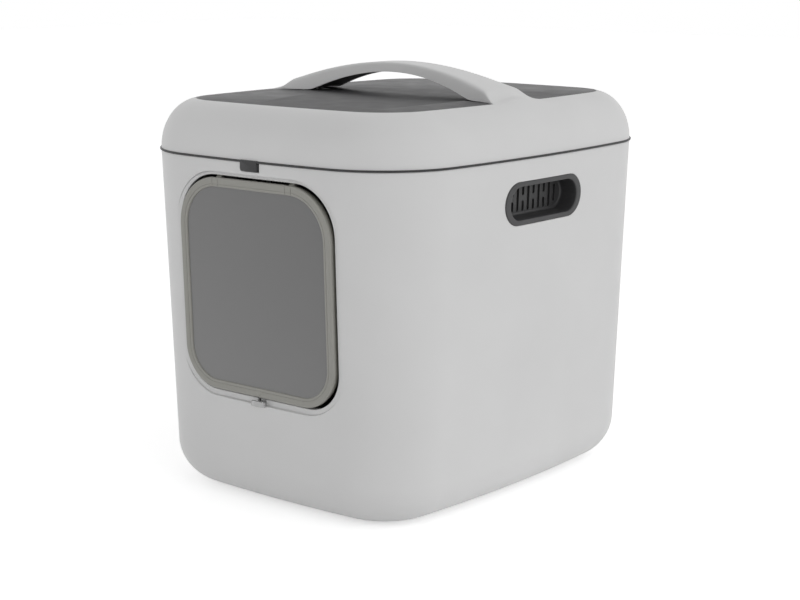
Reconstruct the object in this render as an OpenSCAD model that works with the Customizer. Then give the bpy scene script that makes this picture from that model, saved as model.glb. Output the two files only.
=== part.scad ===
/* [Plan outline] */
// Width across the rim flange
rim_w = 402; // [390:1:430]
// Depth across the rim flange
rim_d = 490; // [470:1:520]
// Corner radius of the rim flange, seen from above
corner_r = 98; // [94:1:106]
// How far the front and rear walls bow out
front_bow = 13.6; // [11:0.2:16]
// How far the side walls bow out
side_bow = 18; // [15:0.5:21]

/* [Tub] */
// Height of the parting plane, where the lid meets its flange
parting_z = 377; // [370:1:390]
// Wall thickness of the tub
tub_wall = 2.8; // [2.4:0.1:3.2]
// Draft angle of the tub walls in degrees
draft = 2; // [1.5:0.1:2.5]
// Radius of the edge between the walls and the base
base_r = 49; // [42:1:54]
// Height of the raised panel moulded into the base
base_panel_h = 2; // [1:0.5:3]
// Distance of the base panel from the rim outline
base_panel_inset = 90; // [88:1:93]
// Height of the rubber feet below the base
foot_h = 1.2; // [0.8:0.1:2]
// Diameter of the rubber feet
foot_d = 20; // [14:1:24]
// Depth that the feet are set into the base
foot_set = 1.6; // [1:0.1:2]

/* [Lid] */
// Height of the lid above the parting plane
lid_h = 53; // [48:1:58]
// Width of the rounded lid shoulder
shoulder_w = 43; // [40:1:46]
// Distance of the panel opening from the rim outline
lip_inset = 40.3; // [38:0.1:42]
// Wall thickness of the lid shell
lid_wall = 2.6; // [2:0.1:3]
// How far the flange stands out past the walls
flange_lap = 1.5; // [1:0.1:2]
// Thickness of the flange between the lid and the tub
flange_t = 2.2; // [1.8:0.1:3]
// Thickness of the inner lid
inner_wall = 2.2; // [1.8:0.1:2.6]
// Gap between the lid shell and the inner lid
inner_gap = 0.8; // [0.5:0.1:1.2]
// Depth of the locating skirt inside the tub
skirt_h = 9.5; // [6:0.5:10]
// Width of the front closing tab
tab_w = 24; // [18:1:30]
// Drop of the front closing tab below the parting plane
tab_h = 11; // [9:0.5:11.5]

/* [Carrying handle] */
// Height of the top of the handle above the floor
handle_top_z = 465.6; // [455:0.2:475]
// Height of the lower edge of the handle at its middle
handle_under_z = 454.7; // [446:0.1:458]
// Half width of the handle at its middle
handle_half = 16.9; // [15:0.1:20]
// Half width of the handle where it reaches the panel
handle_foot_half = 24.8; // [22:0.1:28]
// Distance from the middle to where the handle reaches the panel
handle_foot_x = 114; // [105:1:120]
// Half width of the handle where it joins the shoulders
handle_tip_half = 42; // [38:1:48]
// Rise of the shoulders where the handle flows into them
shoulder_rise = 4.3; // [3:0.1:6]
// Thickness of the grip liner under the handle
liner_t = 2; // [1.6:0.1:3]

/* [Door] */
// Width of the swing flap
flap_w = 214.6; // [200:0.2:218]
// Height of the swing flap
flap_h = 230.2; // [210:0.2:232]
// Corner radius at the top of the flap
flap_top_r = 55; // [45:1:60]
// Corner radius at the bottom of the flap
flap_low_r = 45; // [35:1:52]
// Width of the flap frame
frame_w = 10.2; // [9.6:0.1:12]
// Thickness of the front frame
frame_t = 4; // [3.6:0.1:5]
// Thickness of the rear frame ring
back_t = 4; // [3:0.1:5]
// Thickness of the tinted pane
pane_t = 2.3; // [1.8:0.1:2.8]
// Height of the flap axis above the floor
axis_h = 350.6; // [345:0.1:352]
// Distance of the flap axis from the top edge of the flap
axis_drop = 4.8; // [4.5:0.05:5]
// Running gap along the edges of the flap
flap_gap = 2; // [1.8:0.1:2.4]
// Depth of the flat land that the flap hangs in
land_depth = 5; // [4.6:0.1:5.4]
// Margin of the land on both sides of the flap
land_side = 9.5; // [8.6:0.1:10.4]
// Margin of the land above the flap
land_over = 6; // [5.4:0.1:7]
// Margin of the land below the flap
land_under = 8; // [7.2:0.1:8.8]
// Depth of the flap face below the wall
flap_sink = 0.3; // [0.1:0.1:0.9]

/* [Hinge and latch] */
// Diameter of the hinge rod
rod_d = 2.6; // [2.2:0.1:3]
// Distance of each hinge lug from the middle
lug_x = 52; // [44:1:53]
// Width of a hinge lug
lug_w = 8; // [6:0.5:10]
// Running clearance of the rod in its lugs
rod_clear = 0.06; // [0.02:0.01:0.1]
// Width of the thumb plate of the latch
latch_w = 18; // [15:0.5:22]
// Height of the thumb plate of the latch
latch_h = 5.7; // [5.3:0.1:6.5]
// Diameter of the closing magnets
magnet_d = 3.2; // [2.4:0.1:3.4]

/* [Side grips] */
// Length of a side grip over its flange
grip_l = 138; // [120:1:150]
// Height of a side grip over its flange
grip_h = 46; // [40:1:52]
// Width of the grip flange above and below the pocket
grip_rim = 5.3; // [4:0.1:7]
// Width of the grip flange at the two ends
grip_end = 9; // [7:0.1:12]
// Depth of the grip pocket
grip_depth = 22; // [18:1:26]
// Height of the middle of the grips above the floor
grip_z = 328.3; // [300:0.1:332]
// Pitch of the vent slots
slot_pitch = 9.5; // [8:0.5:10]
// Width of a vent slot
slot_w = 4.2; // [3:0.1:5]
// Thickness of the carbon filter pad
pad_t = 6; // [4:0.5:8]

/* [Hidden] */
$fn = 48;

// Small clearances: still joints, sliding joints and cuts that run past a face
seat_gap = 0.3;
slide_gap = 0.3;
over = 1;

// Plan outline: wall circles in front and at the side, and a corner circle inside both
hw = rim_w / 2;
hd = rim_d / 2;
front_r = (hw * hw + front_bow * front_bow) / (2 * front_bow);
side_r = (hd * hd + side_bow * side_bow) / (2 * side_bow);
front_c = [0, front_r - hd];
side_c = [hw - side_r, 0];
link = side_c - front_c;
link_u = link / norm(link);
link_a = (pow(front_r - corner_r, 2) - pow(side_r - corner_r, 2) + link * link) / (2 * norm(link));
link_h = sqrt(pow(front_r - corner_r, 2) - link_a * link_a);
corner_c = front_c + link_a * link_u + link_h * [-link_u[1], link_u[0]];
front_a = atan2(corner_c[0], front_c[1] - corner_c[1]);
side_a = atan2(-corner_c[1], corner_c[0] - side_c[0]);
foot_a = asin(handle_tip_half / (side_r - lip_inset));

// Steps along each stretch of the outline
wall_steps = 5;
corner_steps = 8;
side_steps = 2;
rows = 12;
cols = 24;
outline_n = 2 * wall_steps + 4 * corner_steps + 2 * (rows + 2 * side_steps);
right_foot = wall_steps + corner_steps + side_steps;
left_foot = right_foot + rows + 2 * side_steps + 2 * corner_steps + wall_steps;

function polar(c, r, a) = [c[0] + r * cos(a), c[1] + r * sin(a)];
function arc(c, r, a0, a1, n) = [for (i = [0:n - 1]) polar(c, r, a0 + (a1 - a0) * i / n)];
function side_arc(c, r, mid) = concat(
    arc(c, r, mid - side_a, mid - foot_a, side_steps),
    [for (j = [0:rows - 1]) polar(c, r, mid + foot_a * row_v(j))],
    arc(c, r, mid + foot_a, mid + side_a, side_steps));
// Position of a handle row across the handle, from -1 in front to 1 behind
function row_v(j) = sin(-90 + 180 * j / rows);

// Closed outline of the box at an inward distance t from the flange edge
function outline(t) = let(cx = corner_c[0], cy = corner_c[1], fy = front_c[1], sx = side_c[0]) concat(
    arc([0, fy], front_r - t, -90 - front_a, -90 + front_a, wall_steps),
    arc([cx, cy], corner_r - t, -90 + front_a, -side_a, corner_steps),
    side_arc([sx, 0], side_r - t, 0),
    arc([cx, -cy], corner_r - t, side_a, 90 - front_a, corner_steps),
    arc([0, -fy], front_r - t, 90 - front_a, 90 + front_a, wall_steps),
    arc([-cx, -cy], corner_r - t, 90 + front_a, 180 - side_a, corner_steps),
    side_arc([-sx, 0], side_r - t, 180),
    arc([-cx, cy], corner_r - t, 180 + side_a, 270 - front_a, corner_steps));
// The same outline drawn with its own steps, for the raised top panel
function panel_outline(t) = let(cx = corner_c[0], cy = corner_c[1], fy = front_c[1], sx = side_c[0]) concat(
    arc([0, fy], front_r - t, -90 - front_a, -90 + front_a, wall_steps + 2),
    arc([cx, cy], corner_r - t, -90 + front_a, -side_a, corner_steps + 3),
    arc([sx, 0], side_r - t, -side_a, side_a, wall_steps + 4),
    arc([cx, -cy], corner_r - t, side_a, 90 - front_a, corner_steps + 3),
    arc([0, -fy], front_r - t, 90 - front_a, 90 + front_a, wall_steps + 2),
    arc([-cx, -cy], corner_r - t, 90 + front_a, 180 - side_a, corner_steps + 3),
    arc([-sx, 0], side_r - t, 180 - side_a, 180 + side_a, wall_steps + 4),
    arc([-cx, cy], corner_r - t, 180 + side_a, 270 - front_a, corner_steps + 3));
function level(t, z) = [for (p = outline(t)) [p[0], p[1], z]];

// Two triangles for the patch between ring a and ring b, walking up the outside
function patch(a, b, j, n) = let(k = (j + 1) % n) [
    [a * n + j, b * n + j, b * n + k], [a * n + j, b * n + k, a * n + k]];
function quad(a, b, c, d) = [[a, b, c], [a, c, d]];

// Solid between stacked rings of points; closed joins the last ring to the first
module skin(rings, closed = false) {
    n = len(rings[0]);
    m = len(rings);
    sides = [for (i = [0:closed ? m - 1 : m - 2]) for (j = [0:n - 1])
        for (f = patch(i, (i + 1) % m, j, n)) f];
    caps = closed ? [] : [[for (j = [0:n - 1]) j], [for (j = [n - 1:-1:0]) (m - 1) * n + j]];
    polyhedron([for (r = rings) for (p = r) p], concat(caps, sides));
}
module box_skin(profile, closed = false) {
    skin([for (p = profile) level(p[0], p[1])], closed);
}

// Tub wall: distance from the flange edge at a height, on the outside
function wall_t(z) = flange_lap + (parting_z - z) * tan(draft);
tub_top = parting_z - flange_t;
base_z = foot_h;
bend_z = base_z + base_r;
bend_t = wall_t(bend_z) + base_r / cos(draft);
bend_steps = 7;
function bend(r) = [for (i = [0:bend_steps]) let(a = -90 + (90 - draft) * i / bend_steps)
    [bend_t - r * cos(a), bend_z + r * sin(a)]];
function reversed(list) = [for (i = [len(list) - 1:-1:0]) list[i]];
wall_h = tub_wall / cos(draft);

// Door frame of reference: origin on the flap axis, x across, y into the box, z up the wall
axis_depth = flap_sink + frame_t;
axis_y = -hd + wall_t(axis_h) + axis_depth * cos(draft);
axis_z = axis_h + axis_depth * sin(draft);
module at_door() {
    translate([0, axis_y, axis_z]) rotate([draft, 0, 0]) children();
}
land_y = land_depth - axis_depth;
land_back_y = land_y + tub_wall;
flap_top = axis_drop;
flap_low = axis_drop - flap_h;

// Fixed sizes of the small parts
land_wall = 2.6;
jamb_wall = 2.5;
jamb_y = land_back_y + 5.2;
jamb_rise = 165;
rail_y = 8;
rail_t = 3;
rail_h = 7.7;
boss_d = 7;
rail_z = tub_top - skirt_h - 0.8 - boss_d / 2 - axis_z;
rail_half = 92;
screw_x = 84;
boss_root = front_r - sqrt(front_r * front_r - screw_x * screw_x) + tub_wall / 2 - axis_depth;
screw_d = 3;
screw_head_d = 5.6;
screw_head_h = 1.8;
screw_reach = 6;
arm_t = 3;
lug_r = rod_d / 2 + 1.6;
rod_half = lug_x + lug_w / 2 + 10;
pane_lap = 4;
pip_d = 6.4;
pip_h = 0.5;
magnet_x = 36;
magnet_h = 2;
magnet_y = (land_back_y + jamb_y) / 2 + 0.4;
land_round = 7.3;
corner_ease = 2.6;
line_w = 0.4;
neck_w = 12;
neck_h = 2.7;
neck_rise = 0.5;
plate_t = 2.2;
stub_w = 6;
stub_h = 1.7;
clip_t = 2.2;
latch_low = flap_low - flap_gap - latch_h - 1.6;
neck_low = latch_low + neck_rise;
neck_top = neck_low + neck_h;
lock_top = flap_low - 0.4;
tab_gap = 0.7;
tab_reach = 8;
tab_proud = 0.8;
tab_round = 2.5;
skirt_t = wall_t(tub_top - skirt_h) + wall_h + 0.9;
plate_top = parting_z + lid_h - lid_wall - inner_gap;
panel_top = lip_z(0) - 0.4;
panel_gap = 0.6;
rise_start = 8;
shoulder_steps = 9;
boss_in = 22.7;
boss_y = 12;
foot_off = (corner_r - bend_t - foot_d / 2 - 3) * sin(45);
grip_flange_t = 1.7;
flange_seat = 1.9;
grip_wall = 2;
grip_back = grip_depth + grip_wall;
cup_l = grip_l - 2 * grip_end + 2 * grip_wall;
cup_h = grip_h - 2 * grip_rim + 2 * grip_wall;
cover_t = 1.6;
half_slots = 5;
slot_bridge = 5.5;

// Side grip frame of reference: origin on the wall, x along the wall, y into the box
grip_x = hw - wall_t(grip_z);
module at_grip(side) {
    mirror([side < 0 ? 1 : 0, 0, 0])
        translate([grip_x, 0, grip_z]) rotate([0, 0, 90]) rotate([draft, 0, 0]) children();
}

// Rounded rectangle between two heights, with its own radius below and above
function rounded(w, z0, z1, r0, r1, n = 8) = concat(
    arc([w / 2 - r0, z0 + r0], r0, -90, 0, n), [[w / 2, z0 + r0]],
    arc([w / 2 - r1, z1 - r1], r1, 0, 90, n), [[w / 2 - r1, z1]],
    arc([r1 - w / 2, z1 - r1], r1, 90, 180, n), [[-w / 2, z1 - r1]],
    arc([r0 - w / 2, z0 + r0], r0, 180, 270, n), [[r0 - w / 2, z0]]);
function stadium(l, h) = rounded(l, -h / 2, h / 2, h / 2 - 0.01, h / 2 - 0.01);
// Flat outline drawn in x and z, filled from depth y0 to depth y1
module slab(y0, y1, points) {
    translate([0, y1, 0]) rotate([90, 0, 0]) linear_extrude(y1 - y0) polygon(points);
}
module block(x0, x1, y0, y1, z0, z1) {
    translate([x0, y0, z0]) cube([x1 - x0, y1 - y0, z1 - z0]);
}
// Round bar along x, and along y
module bar_x(d, x0, x1) {
    translate([x0, 0, 0]) rotate([0, 90, 0]) cylinder(d = d, h = x1 - x0);
}
module bar_y(d, y0, y1) {
    translate([0, y0, 0]) rotate([-90, 0, 0]) cylinder(d = d, h = y1 - y0);
}
// Outline of the flap grown by g all round
function flap_outline(g) = rounded(flap_w + 2 * g, flap_low - g, flap_top + g,
    flap_low_r + g, flap_top_r + g);
// Outline of the opening round the flap, with tighter corners, and of the land round both
function opening(g) = let(k = flap_gap + g) rounded(flap_w + 2 * k, flap_low - k, flap_top + k,
    flap_low_r - corner_ease + g, flap_top_r - corner_ease + g);
function land(g) = rounded(flap_w + 2 * (land_side + g), flap_low - land_under - g,
    flap_top + land_over + g, flap_low_r + land_round + g, flap_top_r + land_round + g);

module body_tub() {
    color("#d6d7d9") difference() {
        union() {
            box_skin(concat(
                [[base_panel_inset + 3, base_z + base_panel_h], [base_panel_inset, base_z]],
                bend(base_r), [[wall_t(tub_top), tub_top], [wall_t(tub_top) + wall_h, tub_top]],
                reversed(bend(base_r - tub_wall)),
                [[base_panel_inset - 2, base_z + tub_wall],
                    [base_panel_inset + 1, base_z + tub_wall + base_panel_h]]));
            intersection() {
                at_door() slab(land_y - 3 * land_depth, land_back_y, land(land_wall));
                box_skin([for (z = [bend_z, tub_top]) [wall_t(z) + tub_wall / 3, z]]);
            }
            at_door() {
                difference() {
                    slab(land_back_y - over, jamb_y, opening(jamb_wall));
                    block(-flap_w, flap_w, -over, jamb_y + over, flap_low + jamb_rise,
                        flap_top + 2 * land_over);
                }
                for (side = [-1, 1]) translate([side * screw_x, 0, rail_z]) bar_y(boss_d, boss_root, rail_y);
            }
        }
        at_door() {
            slab(land_y - 3 * land_depth, land_y, land(0));
            slab(-over - axis_depth, jamb_y + over, opening(0));
            for (side = [-1, 1]) translate([side * screw_x, 0, rail_z])
                bar_y(screw_d + 2 * rod_clear, land_back_y, rail_y + over);
            for (side = [-1, 1]) translate([side * magnet_x, magnet_y, flap_low - flap_gap - jamb_wall])
                translate([0, 0, -over]) cylinder(d = magnet_d + 2 * rod_clear, h = magnet_h + over);
            latch_slot();
        }
        translate([0, -hd, tub_top]) block(-tab_w / 2 - tab_gap, tab_w / 2 + tab_gap,
            -over, tab_reach, -(tab_h - flange_t) - tab_gap, over);
        for (side = [-1, 1]) at_grip(side) {
            slab(-grip_depth, flange_seat, stadium(grip_l + 2 * seat_gap, grip_h + 2 * seat_gap));
            slab(-over, grip_depth, stadium(cup_l + 2 * seat_gap, cup_h + 2 * seat_gap));
        }
        foot_places() translate([0, 0, base_z - over]) cylinder(d = foot_d, h = foot_set + over);
    }
}

module foot_places() {
    for (x = [-1, 1]) for (y = [-1, 1])
        translate([x * (corner_c[0] + foot_off), y * (corner_c[1] - foot_off), 0]) children();
}
module foot_pads() {
    color("#3a3a3c") foot_places() cylinder(d = foot_d, h = foot_h + foot_set);
}

// Lid shoulder: quarter ellipse shrunk by g all round, at a share s from rim to top
function shoulder(g, s) = let(a = 90 * s) [flange_lap + shoulder_w - (shoulder_w - g) * cos(a),
    parting_z + (lid_h - g) * sin(a)];
// Share of the ellipse at which it reaches the panel opening
function lip_share(g) = acos((flange_lap + shoulder_w - lip_inset) / (shoulder_w - g)) / 90;
function lip_z(g) = shoulder(g, lip_share(g))[1];
lip_top = lip_z(0);
// Rise of the shoulder surface towards the handle
function rise(t, y) = let(s = max(0, (t - rise_start) / (lip_inset - rise_start)),
    half = handle_tip_half + (lip_inset - t) / 2)
    abs(y) < half ? shoulder_rise * s * s * (1 + cos(180 * y / half)) / 2 : 0;
function shoulder_ring(g, s) = let(p = shoulder(g, s))
    [for (q = outline(p[0])) [q[0], q[1], p[1] + rise(p[0], q[1])]];

// Handle sections: u runs along the handle and v across it, both from -1 to 1
handle_x = hw - lip_inset;
blend_x = handle_foot_x + (handle_x - handle_foot_x) / 2;
function col_u(i) = let(s = -1 + 2 * i / cols) s * (1.35 - 0.35 * s * s);
function handle_half_at(u) = let(x = abs(u) * handle_x, base = handle_foot_half - handle_half,
    start = handle_half + base * pow(x / handle_foot_x, 2),
    full = handle_half + base * pow(handle_x / handle_foot_x, 2))
    start + (handle_tip_half - full) * pow(max(0, (x - handle_foot_x) / (handle_x - handle_foot_x)), 2.6);
function crest(u) = let(shoulder_z = lip_top + shoulder_rise)
    handle_top_z - (handle_top_z - shoulder_z) * pow(abs(u), 1.95);
function low_edge(u) = let(d = (handle_under_z - lip_top) * (1 - pow(u * handle_x / handle_foot_x, 2)))
    lip_top + (d + sqrt(d * d + 4)) / 2;
// Share of the shoulder surface in the handle surface, from nothing at blend_x to all at the lip
function blend_w(u) = let(s = max(0, (abs(u) * handle_x - blend_x) / (handle_x - blend_x)))
    s * s * (3 - 2 * s);
// Rounded box section whose corners soften towards the feet
function dome(u, v) = let(p = 12 - 4 * abs(u)) pow(max(0, 1 - pow(abs(v), p)), 1 / p);
function handle_point(u, v, g) = let(w = blend_w(u), low = low_edge(u),
    arch = low + (crest(u) - g - low) * dome(u, v),
    flow = lip_z(g) + shoulder_rise * (1 + cos(180 * v)) / 2,
    end_x = sqrt(pow(side_r - lip_inset, 2) - pow(v * handle_tip_half, 2)) + side_c[0])
    [u * end_x, v * (handle_half_at(u) - g * (1 - w)), arch + (flow - arch) * w];

// Screw bosses under the handle feet, ending inside the skin of the handle
boss_x = handle_x - boss_in;
boss_u = (boss_x + boss_d / 2) / handle_x;
boss_top = handle_point(boss_u, (boss_y + boss_d / 2) / handle_half_at(boss_u), 0)[2] - 0.6;

module lid_shell() {
    n = outline_n;
    outer = [for (i = [0:shoulder_steps]) shoulder_ring(0, lip_share(0) * i / shoulder_steps)];
    inner = [for (i = [shoulder_steps:-1:0]) shoulder_ring(lid_wall, lip_share(lid_wall) * i / shoulder_steps)];
    rings = concat(outer, inner);
    m = len(rings);
    mid = shoulder_steps;
    right = [right_foot, right_foot + rows];
    left = [left_foot, left_foot + rows];
    sides = [for (i = [0:m - 1]) for (j = [0:n - 1])
        if (i != mid || !((j >= right[0] && j < right[1]) || (j >= left[0] && j < left[1])))
            for (f = patch(i, (i + 1) % m, j, n)) f];
    // Handle skin: side 0 is the top, side 1 the underside; the end columns are lip points
    span = cols - 1;
    function at(k, i, j) = i == 0 ? (mid + k) * n + left[1] - j
        : i == cols ? (mid + k) * n + right[0] + j
        : m * n + (k * span + i - 1) * (rows + 1) + j;
    points = concat([for (r = rings) for (p = r) p],
        [for (g = [0, lid_wall]) for (i = [1:span]) for (j = [0:rows])
            handle_point(col_u(i), row_v(j), g)]);
    faces = [for (i = [0:cols - 1]) each concat(
        [for (j = [0:rows - 1]) each quad(at(0, i, j), at(0, i, j + 1), at(0, i + 1, j + 1), at(0, i + 1, j))],
        [for (j = [0:rows - 1]) each quad(at(1, i, j), at(1, i + 1, j), at(1, i + 1, j + 1), at(1, i, j + 1))],
        quad(at(0, i, 0), at(0, i + 1, 0), at(1, i + 1, 0), at(1, i, 0)),
        quad(at(0, i + 1, rows), at(0, i, rows), at(1, i, rows), at(1, i + 1, rows)))];
    color("#dcdddf") difference() {
        union() {
            polyhedron(points, concat(sides, faces));
            screw_places() translate([0, 0, plate_top + slide_gap])
                cylinder(d = boss_d, h = boss_top - plate_top - slide_gap);
        }
        screw_places() translate([0, 0, plate_top])
            cylinder(d = screw_d + 2 * rod_clear, h = screw_reach + slide_gap);
    }
}

module screw_places() {
    for (x = [-1, 1]) for (y = [-1, 1]) translate([x * boss_x, y * boss_y, 0]) children();
}

// Panel opening left clear for one handle foot
module foot_zone() {
    front = [for (i = [0:cols]) let(u = col_u(i)) if (u * handle_x > handle_foot_x - 6)
        [u * handle_x, handle_half_at(u) + panel_gap]];
    polygon(concat([for (p = front) [p[0], -p[1]]],
        [[hw, -handle_tip_half - panel_gap], [hw, handle_tip_half + panel_gap]], reversed(front)));
}

module lid_inner() {
    gap = lid_wall + inner_gap;
    share = [for (i = [0:shoulder_steps]) i / shoulder_steps];
    color("#6e6f70") difference() {
        union() {
            box_skin(concat(
                [for (i = reversed(share)) shoulder(gap + inner_wall, i)],
                [[skirt_t + inner_wall, tub_top], [skirt_t + inner_wall, tub_top - skirt_h],
                    [skirt_t, tub_top - skirt_h], [skirt_t, tub_top], [0, tub_top], [0, parting_z]],
                [for (i = share) shoulder(gap, i)]));
            translate([0, 0, plate_top - inner_wall / 2]) linear_extrude(panel_top - plate_top + inner_wall / 2)
                difference() {
                    polygon(panel_outline(lip_inset + panel_gap));
                    foot_zone();
                    mirror([1, 0]) foot_zone();
                }
            translate([0, -hd, 0]) slab(-tab_proud, tab_reach - over, [for (p = rounded(tab_w,
                parting_z - tab_h, parting_z, tab_round, seat_gap, 4)) p]);
        }
        screw_places() translate([0, 0, plate_top - inner_wall - over])
            cylinder(d = screw_d + 2 * seat_gap, h = inner_wall + 2 * over);
    }
}

module handle_liner() {
    reach = handle_foot_x - 5;
    steps = 20;
    color("#2c2c2e") skin([for (i = [0:steps]) let(x = -reach + 2 * reach * i / steps, u = x / handle_x,
        half = handle_half_at(u) - lid_wall - seat_gap, z = low_edge(u) + seat_gap)
        [[x, -half, z], [x, half, z], [x, half, z + liner_t], [x, -half, z + liner_t]]]);
}

module screw(head_d, head_h, reach) {
    translate([0, 0, -head_h]) cylinder(d = head_d, h = head_h);
    cylinder(d = screw_d, h = reach);
}
module handle_screws() {
    color("#9a9c9e") screw_places() translate([0, 0, plate_top - inner_wall])
        screw(screw_head_d, screw_head_h, screw_reach + inner_wall);
}

function door_ring(g, y) = [for (p = flap_outline(-g)) [p[0], y, p[1]]];
// Room for one hinge lug and its arm through the swing
module lug_rooms() {
    r = lug_r + slide_gap;
    w = lug_w / 2 + slide_gap;
    for (side = [-1, 1]) translate([side * lug_x, 0, 0]) {
        bar_x(2 * r, -w, w);
        block(-w, w, -r, back_t + over, 0, flap_top + over);
    }
}
module flap_frame() {
    color("#94938c") at_door() difference() {
        union() {
            skin([for (p = [[0, 0], [0, 2.2 - frame_t], [1.2, 0.9 - frame_t], [3, -frame_t],
                [frame_w - 0.8, -frame_t], [frame_w, 0.8 - frame_t], [frame_w, -pane_t],
                [frame_w - pane_lap, -pane_t], [frame_w - pane_lap, 0]]) door_ring(p[0], p[1])], true);
            translate([0, 0, flap_low + frame_w / 2]) bar_y(pip_d, -frame_t - pip_h, over - frame_t);
        }
        bar_x(rod_d, -rod_half, rod_half);
        lug_rooms();
        for (side = [-1, 1]) for (k = [-1, 1]) translate([side * lug_x + k * lug_w / 2, 0, 0])
            block(-line_w / 2, line_w / 2, -frame_t - over, line_w - frame_t,
                flap_top - frame_w - over, flap_top + over);
    }
}
module flap_pane() {
    color("#77787a", 0.9) at_door() difference() {
        slab(-pane_t, 0, flap_outline(-(frame_w - pane_lap) - seat_gap));
        lug_rooms();
    }
}
module flap_back_ring() {
    color("#85847e") at_door() difference() {
        slab(0, back_t, flap_outline(-1));
        slab(-over, back_t + over, flap_outline(-frame_w));
        bar_x(rod_d, -rod_half, rod_half);
        lug_rooms();
        for (side = [-1, 1]) translate([side * lug_x, 0, 0])
            block(-lug_w / 2 - slide_gap, lug_w / 2 + slide_gap, rod_d / 2, back_t + over,
                1.4 - frame_w + flap_top, flap_top);
        for (side = [-1, 1]) translate([side * magnet_x, back_t / 2, flap_low])
            cylinder(d = magnet_d, h = magnet_h + 1);
    }
}
module flap_magnets() {
    color("#55565a") at_door() for (side = [-1, 1])
        translate([side * magnet_x, back_t / 2, flap_low + 1]) cylinder(d = magnet_d, h = magnet_h);
}
module sill_magnets() {
    color("#55565a") at_door() for (side = [-1, 1])
        translate([side * magnet_x, magnet_y, flap_low - flap_gap - jamb_wall])
            cylinder(d = magnet_d, h = magnet_h);
}
module hinge_rod() {
    color("#b8babc") at_door() bar_x(rod_d, -rod_half, rod_half);
}

module hinge_rail() {
    arm_a = atan2(rail_z, rail_y + rail_t / 2);
    arm_l = norm([rail_z, rail_y + rail_t / 2]);
    color("#8d8c86") at_door() difference() {
        union() {
            block(-rail_half, rail_half, rail_y, rail_y + rail_t, rail_z - rail_h / 2, rail_z + rail_h / 2);
            for (side = [-1, 1]) translate([side * lug_x, 0, 0]) {
                bar_x(2 * lug_r, -lug_w / 2, lug_w / 2);
                rotate([arm_a, 0, 0]) block(0.6 - lug_w / 2, lug_w / 2 - 0.6,
                    (lug_r + rod_d / 2) / 2, arm_l, -arm_t / 2, arm_t / 2);
            }
        }
        bar_x(rod_d + 2 * rod_clear, -rail_half, rail_half);
        for (side = [-1, 1]) translate([side * screw_x, 0, rail_z])
            bar_y(screw_d + 2 * seat_gap, rail_y - over, rail_y + rail_t + over);
    }
}
module rail_screws() {
    color("#9a9c9e") at_door() for (side = [-1, 1])
        translate([side * screw_x, rail_y + rail_t, rail_z]) rotate([90, 0, 0])
            screw(screw_head_d, screw_head_h, rail_y + rail_t - land_back_y - seat_gap);
}

// Latch: thumb plate on the wall, neck through the sill, and a clip behind that rises behind the flap
module latch_slot() {
    block(-neck_w / 2 - slide_gap, neck_w / 2 + slide_gap, -2 * axis_depth, jamb_y + over,
        neck_low - slide_gap, flap_low);
}
module latch_slider() {
    back = -axis_depth - slide_gap;
    color("#e4e6e8") at_door() union() {
        block(-latch_w / 2, latch_w / 2, back - plate_t, back, latch_low, latch_low + latch_h);
        block(-neck_w / 2, neck_w / 2, back - over, jamb_y, neck_low, neck_top);
        block(-stub_w / 2, stub_w / 2, jamb_y - over, jamb_y + slide_gap + over,
            neck_low + neck_rise, neck_low + neck_rise + stub_h);
    }
}
module latch_clip() {
    color("#c9cbce") at_door() difference() {
        union() {
            block(-latch_w / 2, latch_w / 2, jamb_y + slide_gap, jamb_y + slide_gap + clip_t,
                latch_low, lock_top);
            block(-neck_w / 2, neck_w / 2, back_t + 0.4, jamb_y + slide_gap + over, neck_top, lock_top);
        }
        block(-stub_w / 2, stub_w / 2, jamb_y, jamb_y + slide_gap + over,
            neck_low + neck_rise, neck_low + neck_rise + stub_h);
    }
}

module vent_slots(y0, y1) {
    tall = grip_h - 2 * grip_rim - 7.5;
    for (i = [-half_slots:half_slots]) translate([i * slot_pitch, 0, 0]) {
        odd = (i + half_slots) % 2 == 1;
        if (abs(i) == half_slots) slab(y0, y1, slot_outline(-tall / 3, tall / 3));
        else if (odd) slab(y0, y1, slot_outline(-tall / 2, tall / 2));
        else for (s = [-1, 1]) slab(y0, y1, slot_outline(s * tall / 4 - tall / 4 + slot_bridge / 2,
            s * tall / 4 + tall / 4 - slot_bridge / 2));
    }
}
function slot_outline(z0, z1) = rounded(slot_w, z0, z1, slot_w / 2 - 0.05, slot_w / 2 - 0.05, 3);
module grip_cup() {
    difference() {
        union() {
            slab(flange_seat - grip_flange_t, flange_seat, stadium(grip_l, grip_h));
            slab(flange_seat - over, grip_depth + grip_wall, stadium(cup_l, cup_h));
        }
        slab(-over, grip_depth, stadium(cup_l - 2 * grip_wall, cup_h - 2 * grip_wall));
        vent_slots(grip_depth - over, grip_depth + grip_wall + over);
    }
}
module grip(side) {
    color("#47484a") at_grip(side) grip_cup();
}
module filter_pad(side) {
    color("#1d1d1f") at_grip(side) slab(grip_back + seat_gap, grip_back + seat_gap + pad_t,
        stadium(cup_l - 2 * grip_wall - 2, cup_h - 2 * grip_wall - 2));
}
module filter_cover(side) {
    depth = grip_back + pad_t + 2 * seat_gap;
    color("#b9babd") at_grip(side) difference() {
        slab(grip_back, depth + cover_t, stadium(cup_l, cup_h));
        slab(grip_back - over, depth, stadium(cup_l - 2 * cover_t, cup_h - 2 * cover_t));
        vent_slots(depth - over, depth + cover_t + over);
    }
}

body_tub();
foot_pads();
lid_shell();
lid_inner();
handle_liner();
handle_screws();
flap_frame();
flap_pane();
flap_back_ring();
flap_magnets();
sill_magnets();
hinge_rod();
hinge_rail();
rail_screws();
latch_slider();
latch_clip();
grip(-1);  // grip_left
grip(1);  // grip_right
filter_pad(-1);  // filter_pad_left
filter_pad(1);  // filter_pad_right
filter_cover(-1);  // filter_cover_left
filter_cover(1);  // filter_cover_right
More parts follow.
